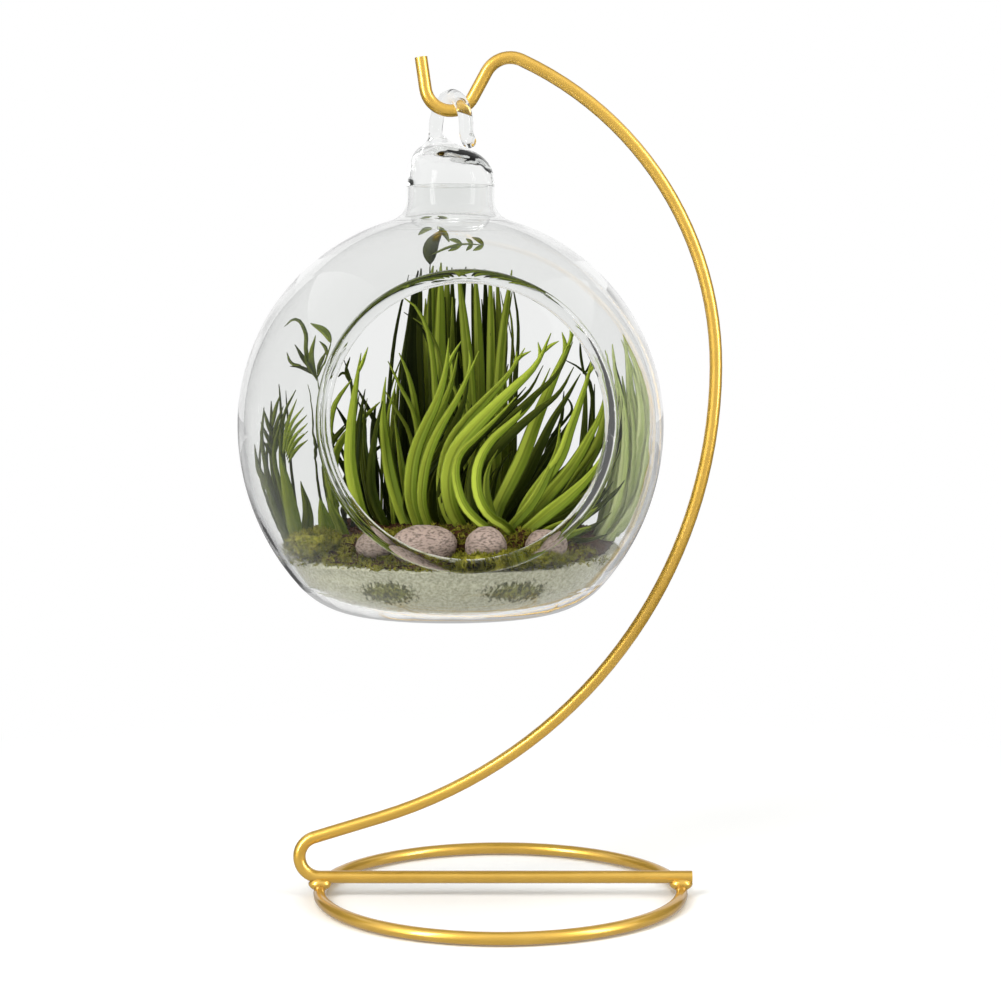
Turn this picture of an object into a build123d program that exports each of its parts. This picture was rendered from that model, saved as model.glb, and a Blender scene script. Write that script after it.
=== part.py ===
from build123d import *
import os
from math import atan2, cos, degrees, hypot, radians, sin, sqrt

# Air plant holder: a blown glass globe, planted with grasses over soil and sand, that hangs
# by its own glass hook from a bent wire stand.
# Millimetres and degrees, +Z up. The origin is the centre of the base ring on the table,
# X runs along the bar across the ring, and the globe's mouth looks towards -Y.

# Wire stand
WIRE_D = 4.5
RING_RADIUS = 65.0  # to the wire's centre line
BAR_OVERHANG = 4.0  # free end of the bar past the ring's centre line
FOOT_BEND_R = 7.4
FOOT_ANGLE = 17.0  # climb of the straight run out of the foot bend
FOOT_RUN = 25.0
ARCH_ANGLE = 65.3  # how far the upper sweep turns past upright before the arch
ARCH_BEND_R = 9.5
RISER_SLOPE = 61.5  # slope of the short run from the arch down to the hook
RISER_RUN = 10.0
HOOK_BEND_R = 8.9
TIP_LEAN = 8.0  # the hook's tip leans this far past upright
TIP_RUN = 11.0
HANG_X = -17.5  # hook's lowest point, measured from the ring's centre
SPINE_GAP = 16.5  # free space between the globe's side and the wire
WELD_GAP = 0.2  # weld metal between the bar and the ring
WELD_LENGTH = 4.2  # half length of a weld bead along the bar
WELD_WIDTH = 3.4
WELD_HEIGHT = 2.6
WELD_SEAT = 0.02

# Glass globe
GLOBE_R = 75.0
WALL = 2.0
BELLY_R = 85.0  # fuller curve below the middle
CORNER_R = 30.0
BASE_DROP = 66.0  # from the globe's centre to its flat bottom
BASE_WALL = 2.5
NECK_R = 15.4
NECK_FILLET_R = 8.0
NECK_HEIGHT = 84.0  # from the globe's centre to the seam with the glass hook
BALANCE = 2.45  # the hook stands this far behind the globe's axis, so that the globe hangs level
MOUTH_R = 47.5
MOUTH_RISE = 4.0  # the mouth's centre above the globe's centre
MOUTH_YAW = 7.0  # the mouth faces this far to the right of -Y
LIP_R = 2.4  # fire-polished bead round the mouth

# Glass hook, drawn from one lump of hot glass on the neck
HOOK_ROD_D = 5.0
EYE_HEIGHT = 29.0  # from the seam to the inside of the loop's top
LOOP_R = 12.0  # to the rod's centre line
LOOP_YAW = 62.0  # turn of the loop's plane away from the wire's plane
EYE_GAP = 0.3  # between the loop and the wire that it hangs on
LUMP_DRUM = 6.0  # straight-sided foot of the lump above the seam
LUMP_SHOULDER = 11.5
LUMP_SHOULDER_R = 11.5
LUMP_WAIST_R = 5.6
LUMP_LEAN = (0.3, 0.7)  # lean of the shoulder and the waist, as shares of the way to the rod
FLICK_R = 6.0  # outward curl of the loop's free end
FLICK_ANGLE = 50.0

# Filling
FILL_GAP = 0.3  # between the filling and the glass
SEAT_GAP = 0.15  # between a stone, crown or moss pad and its bed
SAND_DEPTH = 13.0
SOIL_CROWN = 29.0  # highest soil above the glass floor
SOIL_CROWN_BACK = 20.0  # the highest soil lies this far behind the globe's centre
SOIL_DOME_R = 330.0
STONE_SHOW = 0.5  # stone's centre above the soil, as a share of its half height
MOSS_SHOW = 0.15

# Plants
CROWN_R = 5.0
LEAF_ROOT = 0.5  # where a leaf leaves its crown's middle, as a share of the crown's radius
LEAF_THICK = 0.8
LEAF_FOLD = 0.25  # depth of a leaf's channel, as a share of its width
LEAF_FORM = ((0.0, 0.55), (0.35, 1.0), (0.75, 0.72), (1.0, 0.14))  # share of length, share of width

# Worked out from the sizes above
WIRE_R = WIRE_D / 2
ROD_R = HOOK_ROD_D / 2
BAR_Z = WIRE_D + WELD_GAP + WIRE_R
REACH_X = HANG_X + GLOBE_R + SPINE_GAP + WIRE_R  # spine's furthest point
CAVITY_R = GLOBE_R - WALL
UP = Vector(0, 0, 1)


def run_shift(length, heading):
    """Travel along a straight run."""
    return Vector(length * cos(radians(heading)), length * sin(radians(heading)))


def bend_shift(radius, heading_in, heading_out):
    """Travel round a bend. A negative radius bends clockwise."""
    start = radians(heading_in)
    end = radians(heading_out)
    return Vector(radius * (sin(end) - sin(start)), radius * (cos(start) - cos(end)))


# Headings along the wire, from the bar's free end to the hook's tip
TO_LEFT = 180.0
UPRIGHT = 90.0
ARCH_IN = UPRIGHT + ARCH_ANGLE
RISER_HEADING = TO_LEFT + RISER_SLOPE
TIP_HEADING = UPRIGHT + TIP_LEAN

bar_start = Vector(RING_RADIUS + BAR_OVERHANG, BAR_Z)
bar_length = 2 * RING_RADIUS + BAR_OVERHANG
sweep_start = (
    bar_start
    + run_shift(bar_length, TO_LEFT)
    + bend_shift(-FOOT_BEND_R, TO_LEFT, FOOT_ANGLE)
    + run_shift(FOOT_RUN, FOOT_ANGLE)
)
lower_sweep_r = (REACH_X - sweep_start.X) / (1 - sin(radians(FOOT_ANGLE)))
spine_side = sweep_start + bend_shift(lower_sweep_r, FOOT_ANGLE, UPRIGHT)
arch_to_hang = (
    bend_shift(ARCH_BEND_R, ARCH_IN, RISER_HEADING)
    + run_shift(RISER_RUN, RISER_HEADING)
    + bend_shift(-HOOK_BEND_R, RISER_HEADING, TO_LEFT)
)
upper_sweep_r = (REACH_X + arch_to_hang.X - HANG_X) / (1 - sin(radians(ARCH_IN)))
hang = spine_side + bend_shift(upper_sweep_r, UPRIGHT, ARCH_IN) + arch_to_hang

HANG_Z = hang.Y
EYE_TOP_Z = HANG_Z + WIRE_R + EYE_GAP
SEAM_Z = EYE_TOP_Z - EYE_HEIGHT
GLOBE_Z = SEAM_Z - NECK_HEIGHT
GLOBE_CENTRE = Vector(HANG_X, -BALANCE, GLOBE_Z)
FLOOR_Z = GLOBE_Z - BASE_DROP + BASE_WALL
SAND_TOP_Z = FLOOR_Z + SAND_DEPTH


def stand_rod():
    """One length of wire: bar, foot bend, two sweeps of the spine, arch, riser and hook."""
    with BuildLine(Plane.XZ) as path:
        bar = PolarLine((bar_start.X, bar_start.Y), bar_length, TO_LEFT)
        foot = JernArc(bar @ 1, bar % 1, FOOT_BEND_R, FOOT_ANGLE - TO_LEFT)
        run = PolarLine(foot @ 1, FOOT_RUN, FOOT_ANGLE)
        lower = JernArc(run @ 1, run % 1, lower_sweep_r, UPRIGHT - FOOT_ANGLE)
        upper = JernArc(lower @ 1, lower % 1, upper_sweep_r, ARCH_IN - UPRIGHT)
        arch = JernArc(upper @ 1, upper % 1, ARCH_BEND_R, RISER_HEADING - ARCH_IN)
        riser = PolarLine(arch @ 1, RISER_RUN, RISER_HEADING)
        hook = JernArc(riser @ 1, riser % 1, HOOK_BEND_R, TIP_HEADING - RISER_HEADING)
        PolarLine(hook @ 1, TIP_RUN, TIP_HEADING)
    start = Plane(origin=(bar_start.X, 0, bar_start.Y), z_dir=(-1, 0, 0))
    return sweep(start * Circle(WIRE_R), path=path.wire())


def base_ring(thickness=WIRE_R):
    return Pos(0, 0, WIRE_R) * Torus(RING_RADIUS, thickness)


def weld_bead(side):
    """The bead between the bar and the ring, at one side of the ring."""
    x = side * RING_RADIUS
    bead = Pos(x, 0, WIRE_D + WELD_GAP / 2) * scale(Sphere(1), (WELD_LENGTH, WELD_WIDTH, WELD_HEIGHT))
    bar = Pos(x, 0, BAR_Z) * Rot(0, 90, 0) * Cylinder(WIRE_R + WELD_SEAT, 4 * WELD_LENGTH)
    return bead - bar - base_ring(WIRE_R + WELD_SEAT)


def globe_body(inset, base_inset, top):
    """The globe's form, solid, with its wall moved in by the inset and its neck cut at the top."""
    belly_shift = BELLY_R - GLOBE_R
    belly = BELLY_R - inset
    corner = CORNER_R - inset
    drop = BASE_DROP - base_inset
    flat = sqrt((belly - corner) ** 2 - (drop - corner) ** 2) - belly_shift
    corner_angle = degrees(atan2(drop - corner, flat + belly_shift))
    neck = NECK_R - inset
    fillet = NECK_FILLET_R + inset
    fillet_x = NECK_R + NECK_FILLET_R
    fillet_z = sqrt((GLOBE_R + NECK_FILLET_R) ** 2 - fillet_x**2)
    fillet_angle = degrees(atan2(fillet_z, fillet_x))
    outline = [
        Line((0, -drop), (flat, -drop)),
        CenterArc((flat, corner - drop), corner, -90, 90 - corner_angle),
        CenterArc((-belly_shift, 0), belly, -corner_angle, corner_angle),
        CenterArc((0, 0), GLOBE_R - inset, 0, fillet_angle),
        CenterArc((fillet_x, fillet_z), fillet, 180 + fillet_angle, -fillet_angle),
        Line((neck, fillet_z), (neck, top)),
        Line((neck, top), (0, top)),
        Line((0, top), (0, -drop)),
    ]
    body = revolve(Plane.XZ * make_face(outline), Axis.Z)
    return Pos(GLOBE_CENTRE) * body


def wall_reach(z):
    """Distance from the globe's axis to the middle of its wall, at a height from its centre."""
    if z > 0:
        return sqrt((GLOBE_R - WALL / 2) ** 2 - z**2)
    return sqrt((BELLY_R - WALL / 2) ** 2 - z**2) - (BELLY_R - GLOBE_R)


# The mouth's plane passes through the wall at the top and the bottom of the opening.
mouth_top = wall_reach(MOUTH_RISE + MOUTH_R)
mouth_bottom = wall_reach(MOUTH_RISE - MOUTH_R)
mouth_tilt = degrees(atan2(mouth_bottom - mouth_top, 2 * MOUTH_R))
lip_ring_r = hypot(mouth_bottom - mouth_top, 2 * MOUTH_R) / 2
mouth_place = (
    Pos(GLOBE_CENTRE)
    * Rot(0, 0, MOUTH_YAW)
    * Pos(0, -(mouth_top + mouth_bottom) / 2, MOUTH_RISE)
    * Rot(90 - mouth_tilt, 0, 0)
)


def lip(bead):
    return mouth_place * Torus(lip_ring_r, bead)


def glass_globe():
    """Blown globe with an open neck, a round mouth in its side and a bead round the mouth."""
    shell = globe_body(0, 0, NECK_HEIGHT) - globe_body(WALL, BASE_WALL, NECK_HEIGHT)
    way_in = Pos(0, 0, GLOBE_R / 2 - 2 * LIP_R) * Cylinder(lip_ring_r, GLOBE_R)
    return shell - mouth_place * way_in + lip(LIP_R)


def glass_hook():
    """A lump on the neck that leans back into a rod, which loops over the wire to a curled end."""
    loop_z = EYE_HEIGHT + ROD_R - LOOP_R
    loop_way = Vector(1, 0, 0).rotate(Axis.Z, -LOOP_YAW)
    across = Plane(origin=(HANG_X, 0, SEAM_Z), x_dir=loop_way, z_dir=UP)
    neck_top = GLOBE_CENTRE + UP * NECK_HEIGHT
    rod_foot = across.origin - loop_way * LOOP_R
    rings = (
        (0.0, 0.0, NECK_R),
        (LUMP_DRUM, 0.0, NECK_R - WALL / 2),
        (LUMP_SHOULDER, LUMP_LEAN[0], LUMP_SHOULDER_R),
        ((LUMP_SHOULDER + loop_z) / 2, LUMP_LEAN[1], LUMP_WAIST_R),
        (loop_z, 1.0, ROD_R),
    )
    sections = []
    for height, lean, radius in rings:
        middle = neck_top + (rod_foot - neck_top) * lean + UP * height
        sections.append(Plane(origin=middle, x_dir=loop_way, z_dir=UP) * Circle(radius))
    lump = loft(sections)
    upright = Plane(origin=across.origin, x_dir=loop_way, z_dir=loop_way.cross(UP))
    with BuildLine(upright) as path:
        loop = JernArc((-LOOP_R, loop_z), (0, 1), LOOP_R, -180)
        flick = JernArc(loop @ 1, loop % 1, FLICK_R, FLICK_ANGLE)
    rod = sweep(across * Pos(-LOOP_R, 0, loop_z) * Circle(ROD_R), path=path.wire())
    return lump + rod + Pos(path.wire() @ 1) * Sphere(ROD_R)


SOIL_TOP_Z = FLOOR_Z + SOIL_CROWN
SOIL_TOP_Y = GLOBE_CENTRE.Y + SOIL_CROWN_BACK
FILLING = globe_body(WALL + FILL_GAP, BASE_WALL, NECK_HEIGHT)


def spot(x, y, z):
    """A point in the globe, in shares of the cavity's radius from the globe's centre."""
    return GLOBE_CENTRE + Vector(x, y, z) * CAVITY_R


def soil_height(point):
    """Height of the soil's domed top under or over a point."""
    offset = hypot(point.X - GLOBE_CENTRE.X, point.Y - SOIL_TOP_Y)
    return SOIL_TOP_Z - SOIL_DOME_R + sqrt(SOIL_DOME_R**2 - offset**2)


def on_soil(x, y, rise=0.0):
    """A point on the soil's top, or over it by the rise, at a place given in shares."""
    point = spot(x, y, 0)
    return Vector(point.X, point.Y, soil_height(point) + rise)


def soil_dome(grow=0.0):
    place = Pos(GLOBE_CENTRE.X, SOIL_TOP_Y, SOIL_TOP_Z - SOIL_DOME_R)
    return place * Sphere(SOIL_DOME_R + grow)


def below(height):
    """Everything in the globe under a level."""
    block = Box(3 * GLOBE_R, 3 * GLOBE_R, 2 * GLOBE_R)
    return Pos(GLOBE_CENTRE.X, GLOBE_CENTRE.Y, height - GLOBE_R) * block


# Stones: place in shares of the cavity, half sizes, turn
STONES = {
    "large_stone": ((-0.11, -0.64), (11.2, 8.0, 7.2), 8),
    "round_stone": ((0.17, -0.65), (7.1, 6.6, 6.9), -20),
    "right_stone": ((0.45, -0.52), (7.6, 5.6, 5.6), 30),
    "left_stone": ((-0.34, -0.55), (7.0, 5.4, 5.2), -35),
}

# Moss pads: place in shares of the cavity, half sizes, turn
MOSSES = {
    "front_moss": ((0.28, -0.70), (22.0, 8.0, 5.0), 14),
    "left_moss": ((-0.62, -0.36), (9.0, 15.0, 5.0), -30),
    "back_moss": ((0.10, 0.62), (24.0, 9.0, 5.0), 0),
}


def stone(place, half, turn, grow=0.0):
    """An egg-shaped stone, sunk a little in the soil."""
    size = tuple(axis + grow for axis in half)
    seat = on_soil(*place, half[2] * STONE_SHOW)
    return Pos(seat) * Rot(0, 0, turn) * scale(Sphere(1), size)


def crown_ball(place, grow=0.0):
    """The swollen foot that a plant's leaves grow from, half in the soil, its seam turned down."""
    return Plane(origin=on_soil(*place), x_dir=-UP, z_dir=(0, 1, 0)) * Sphere(CROWN_R + grow)


def leaf(foot, middle, tip, width, roll):
    """A channelled strap leaf on an arc from a crown to its tip, rolled about its own line."""
    outward = Vector(middle.X - foot.X, middle.Y - foot.Y).normalized()
    base = foot + outward * CROWN_R * LEAF_ROOT
    line = ThreePointArc(base, middle, tip)
    flat = (middle - base).cross(tip - base).normalized()
    sections = []
    for share, wide in LEAF_FORM:
        along = line % share
        edge = flat * cos(radians(roll)) + along.cross(flat) * sin(radians(roll))
        half = width * wide / 2
        fold = width * wide * LEAF_FOLD
        outline = Polyline(
            (-half, 0),
            (0, -fold),
            (half, 0),
            (half, LEAF_THICK),
            (0, LEAF_THICK - fold),
            (-half, LEAF_THICK),
            close=True,
        )
        sections.append(Plane(origin=line @ share, x_dir=edge, z_dir=along) * make_face(outline))
    return loft(sections)


def strap_plant(crown, leaves, width, roll):
    """A plant of hand-placed leaves: each has a middle and a tip, in shares of the cavity."""
    foot = on_soil(*crown)
    plant = crown_ball(crown)
    for middle, tip in leaves:
        plant += leaf(foot, spot(*middle), spot(*tip), width, roll)
    return plant


def grass_fan(crown, count, start, step, spread, height, bow, width):
    """A tuft whose blades fan out round its crown, every other one shorter and wider spread."""
    foot = on_soil(*crown)
    tuft = crown_ball(crown)
    for number in range(count):
        short = number % 2
        angle = radians(start + number * step)
        out = Vector(cos(angle), sin(angle)) * spread * CAVITY_R * (1 + 0.3 * short)
        rise = UP * height * CAVITY_R * (1 - 0.22 * short)
        middle = foot + out * bow + rise * (1 - bow)
        tuft += leaf(foot, middle, foot + out + rise, width, 0)
    return tuft


# Strap plants: crown's place, then a middle and a tip for each leaf, in shares of the cavity
STRAP_PLANTS = {
    "left_strap_plant": (
        (-0.24, -0.28),
        (
            ((-0.46, -0.30, -0.05), (-0.42, -0.30, 0.34)),
            ((-0.33, -0.18, -0.05), (-0.31, -0.10, 0.23)),
            ((-0.20, -0.36, -0.06), (-0.01, -0.38, 0.38)),
        ),
    ),
    "middle_strap_plant": (
        (0.10, -0.26),
        (
            ((0.03, -0.40, -0.02), (0.46, -0.42, 0.42)),
            ((0.00, -0.16, -0.02), (0.33, -0.12, 0.38)),
            ((0.16, -0.46, -0.12), (0.47, -0.54, 0.22)),
            ((0.36, -0.16, -0.05), (0.60, -0.12, 0.47)),
        ),
    ),
    "right_strap_plant": (
        (0.40, -0.26),
        (
            ((0.58, -0.32, -0.10), (0.68, -0.34, 0.31)),
            ((0.66, -0.18, -0.08), (0.74, -0.18, 0.26)),
            ((0.56, -0.46, -0.26), (0.70, -0.52, -0.16)),
        ),
    ),
}
STRAP_WIDTH = 5.6
STRAP_ROLL = 55.0

# Grass tufts: crown's place, number of blades, first angle, step, spread, height, bow, width
GRASSES = {
    "tall_grass": ((0.06, 0.36), 11, 20, 33, 0.16, 1.24, 0.40, 4.0),
    "left_grass": ((-0.44, 0.16), 6, 10, 60, 0.20, 0.95, 0.36, 2.4),
    "left_fern": ((-0.58, -0.10), 7, 100, 35, 0.20, 0.62, 0.28, 3.0),
    "right_tuft": ((0.60, 0.10), 7, -60, 40, 0.16, 0.86, 0.36, 3.2),
}

CROWNS = [place for place, leaves in STRAP_PLANTS.values()]
CROWNS += [row[0] for row in GRASSES.values()]


def cut_pockets(bed):
    """Room in a bed for the stones, the crowns and the bead round the mouth."""
    for place, half, turn in STONES.values():
        bed -= stone(place, half, turn, SEAT_GAP)
    for place in CROWNS:
        bed -= crown_ball(place, SEAT_GAP)
    return bed - lip(LIP_R + FILL_GAP)


def sand_layer():
    return FILLING & below(SAND_TOP_Z)


def soil_bed():
    """Soil on the sand, domed towards the back, with a pocket for whatever stands in it."""
    return cut_pockets((FILLING - below(SAND_TOP_Z)) & soil_dome())


def moss_pad(place, half, turn):
    """A low cushion of moss, fitted to the soil, the glass and the stones."""
    seat = on_soil(*place, half[2] * MOSS_SHOW)
    pad = Pos(seat) * Rot(0, 0, turn) * scale(Sphere(1), half)
    return cut_pockets((pad & FILLING) - soil_dome(SEAT_GAP))


def model():
    """Every piece by its node name."""
    parts = {
        "stand_rod": stand_rod(),
        "base_ring": base_ring(),
        "left_weld": weld_bead(-1),
        "right_weld": weld_bead(1),
        "glass_globe": glass_globe(),
        "glass_hook": glass_hook(),
        "sand_layer": sand_layer(),
        "soil_bed": soil_bed(),
    }
    for name, row in STONES.items():
        parts[name] = stone(*row)
    for name, row in MOSSES.items():
        parts[name] = moss_pad(*row)
    for name, (crown, leaves) in STRAP_PLANTS.items():
        parts[name] = strap_plant(crown, leaves, STRAP_WIDTH, STRAP_ROLL)
    for name, row in GRASSES.items():
        parts[name] = grass_fan(*row)
    return parts


os.makedirs("parts", exist_ok=True)
for name, shape in model().items():
    export_step(shape, f"parts/{name}.step")
print(f"hook's lowest point {HANG_X:.3f}, {HANG_Z:.3f}, globe's centre {GLOBE_Z:.3f}")
print(f"sweep radii {lower_sweep_r:.2f} and {upper_sweep_r:.2f}")
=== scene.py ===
import contextlib
import math
import random

import bmesh
import bpy
from mathutils import Matrix, Vector


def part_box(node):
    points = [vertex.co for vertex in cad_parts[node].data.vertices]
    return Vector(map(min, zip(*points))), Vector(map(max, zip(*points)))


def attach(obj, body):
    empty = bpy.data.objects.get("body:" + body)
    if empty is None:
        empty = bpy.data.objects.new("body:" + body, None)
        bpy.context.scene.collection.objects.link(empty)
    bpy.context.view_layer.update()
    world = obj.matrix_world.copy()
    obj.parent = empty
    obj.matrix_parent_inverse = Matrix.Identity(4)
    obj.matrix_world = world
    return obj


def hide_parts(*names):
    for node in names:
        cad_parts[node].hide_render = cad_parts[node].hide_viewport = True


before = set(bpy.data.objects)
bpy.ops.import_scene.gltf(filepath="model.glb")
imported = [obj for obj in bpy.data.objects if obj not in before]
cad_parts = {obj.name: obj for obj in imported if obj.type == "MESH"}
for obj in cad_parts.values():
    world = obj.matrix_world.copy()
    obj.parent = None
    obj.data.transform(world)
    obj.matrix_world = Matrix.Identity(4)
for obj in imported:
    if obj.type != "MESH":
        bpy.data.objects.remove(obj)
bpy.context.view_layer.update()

MM = 0.001
CM2_IN_M2 = 1e4
SEED = 11

# The camera, through which the planting is placed too: its place and tilt, and its focal length and picture
# in pixels
CAMERA = Vector((0, -0.8, 0.2051))
TILT = math.radians(4.442)
FOCAL = 2256.9
PICTURE = 1001
SENSOR_MM = 36

# Studio: each lamp has a place, a width and height in metres, and a power in watts
SOFT_BOXES = {
    "left_light": ((-0.9, -1.0, 1.0), (0.9, 0.9), 21),
    "right_light": ((1.15, -0.7, 0.7), (0.9, 0.9), 10),
    "top_light": ((0.0, -0.1, 1.5), (1.0, 1.0), 8),
}
STRIPS = {
    "left_strip": ((-1.05, -0.95, 0.5), (0.34, 1.5), 23),
    "right_strip": ((1.25, -0.68, 0.5), (0.34, 1.5), 15),
}
# Each card has a place and a size in metres, and a grey. Floor cards lie flat, the others face the globe
CARDS = {
    "front_card": ((0, -2.6, 0.3), (2.6, 2.6), "D4D4D4"),
    "left_card": ((-2.1, 1.1, 0.4), (2.4, 2.6), "585858"),
    "right_card": ((2.1, 1.1, 0.4), (2.4, 2.6), "686868"),
    "top_card": ((0, 1.3, 2.4), (3.2, 2.8), "909090"),
}
FLOOR_CARDS = {
    "floor_card": ((0, 0, -0.0003), (12, 12), "C0C0C0"),
    "left_floor_card": ((-1.26, 0.78, -0.0002), (2.2, 2.05), "585858"),
    "right_floor_card": ((1.26, 0.78, -0.0002), (2.2, 2.05), "686868"),
}
FLOOR_R = 6
FLOOR_Z = -0.0004
SHADOW_FULL_R = 0.08  # nearer to the middle than this the floor keeps its whole shadow
SHADOW_GONE_R = 0.4  # further out than this it is plain white
ROOM_LIGHT = 0.55  # the surround's strength for matt surfaces; seen straight on or mirrored it is 1

# Light that has been mirrored inside the glass more often than this leaves it
RIM_BOUNCES = 2.5

# The globe's own centre and the room in it
CENTRE_UNDER_NECK = 84 * MM
CLEAR_OF_GLASS = 3.5 * MM  # the wall and a gap, which no leaf passes
globe_low, globe_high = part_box("glass_globe")
GLOBE_R = (globe_high.x - globe_low.x) / 2
GLOBE = Vector((globe_low.x + GLOBE_R, globe_high.y - GLOBE_R, globe_high.z - CENTRE_UNDER_NECK))
CAVITY_R = GLOBE_R - CLEAR_OF_GLASS

# CAD points nearer than this are one point
SAME_POINT = 0.002 * MM

# Ground: how the soil bed is drawn in for the sand's lining and for the soil, and what is heaped on it
SOIL_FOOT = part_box("soil_bed")[0].z
LINING_SHARE = (0.985, 0.985, 0.82)
SOIL_SHARE = (0.945, 0.945, 1.08)
GROUND_VOXEL = 1.1 * MM
HEAP_R = 7 * MM
HEAP_SINK = 4.5 * MM
HEAP_REACH = 40 * MM
BANK_HALVES = (46 * MM, 27 * MM, 9 * MM)
BANK_PLACE = (GLOBE.x + 2 * MM, GLOBE.y - 17 * MM, SOIL_FOOT + 9 * MM)

# Moss and crumbs are strewn near the globe's axis and above their levels. The ground that lies both behind
# and right of the last two has no moss
STREWN_REACH = 60 * MM
MOSS_LEVEL = globe_low.z + 20.5 * MM
CRUMB_LEVEL = globe_low.z + 26 * MM
BARE_BEHIND = GLOBE.y - 24 * MM
BARE_RIGHT_OF = GLOBE.x - 40 * MM

# A moss sprig's strands: straight for most of their length, then bent over to a tip
STRANDS = 5
STRAND_FOOT_R = 0.26 * MM
STRAND_TOP_R = 0.2 * MM
STRAND_LENGTH = 1.6 * MM
STRAND_LIFT = 0.7 * MM
STRAND_BEND = 1.4 * MM
STRAND_TIP = (0.9 * MM, 0, 0.9 * MM)
TIP_SHARE = 0.25
STRAND_LEAN = 13  # degrees more for each next strand

# A crumb of soil: a small ball with one side pressed in, and its foot pushed aside and up
CRUMB_R = 0.5 * MM
CRUMB_SIDE = 0.2 * MM
CRUMB_PRESS = (0.6, 1.3, 0.8)
CRUMB_FOOT = -0.1 * MM
CRUMB_PUSH = (0.12 * MM, -0.08 * MM, 0.1 * MM)

# Stones and the size of the lumps in their form in mm; moss pads and the share of the CAD pad's height
STONES = {"large_stone": 9, "round_stone": 7, "right_stone": 6, "left_stone": 6}
PADS = {"front_moss": 0.72, "left_moss": 1.15, "back_moss": 0.72}
STONE_VOXEL = 0.45 * MM
PAD_VOXEL = 0.9 * MM

# Moss pressed flat against the glass: each patch's middle, as a leaf's place below, and how far it reaches
PATCHES = (
    ((387, 593, -52), (11 * MM, 20 * MM, 4.6 * MM)),
    ((519, 592, -52), (13 * MM, 20 * MM, 4.2 * MM)),
)

# Leaves stand in a turned frame: their own X is up, and their own Z faces the globe's mouth
STANDING = Matrix(((0, -1, 0, 0), (0, 0, -1, 0), (1, 0, 0, 0), (0, 0, 0, 1)))
LEAF_THICKNESS = 0.35 * MM
ROOT_ROLL = 0.4  # the share of its roll that a leaf has at its root
ROOT_DEPTH = 1.5 * MM
ROOTED_WITHIN = 14 * MM  # a leaf is rooted if its foot has less than this to drop
LET_DOWN_OVER = 32 * MM  # the height over which a leaf that is let down comes back to its line
GROUND_ROW = 512  # the picture's row that the planting stands on
ROOTED_BELOW_ROW = 510  # younger leaves follow only those that start below this row

# A leaf's width along its run, as shares: its root, how fast it swells, and how it narrows to its point
STRAP_ROOT = 0.78
STRAP_SWELL = 0.9
STRAP_POINT_FROM = 0.32
STRAP_POINT_RUN = 0.68
STRAP_POINT_LOSS = 0.96
STRAP_POINT_POWER = 1.6
BLADE_ROOT = 0.75
BLADE_SWELL = 3
BLADE_POINT_LOSS = 0.92
BLADE_POINT_POWER = 5
LEAFLET_ENDS = 0.1
LEAFLET_POWER = 0.8
FOLD_ROUND = 0.2  # how far a leaf's gutter is rounded, as a share of half its width
SAME_ROW = 1e-3  # points of a blank leaf whose places differ by less are in one row
LEAVES_APART = 57.0  # how far apart in the noise the lightest and the darkest leaf take their bands

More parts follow.
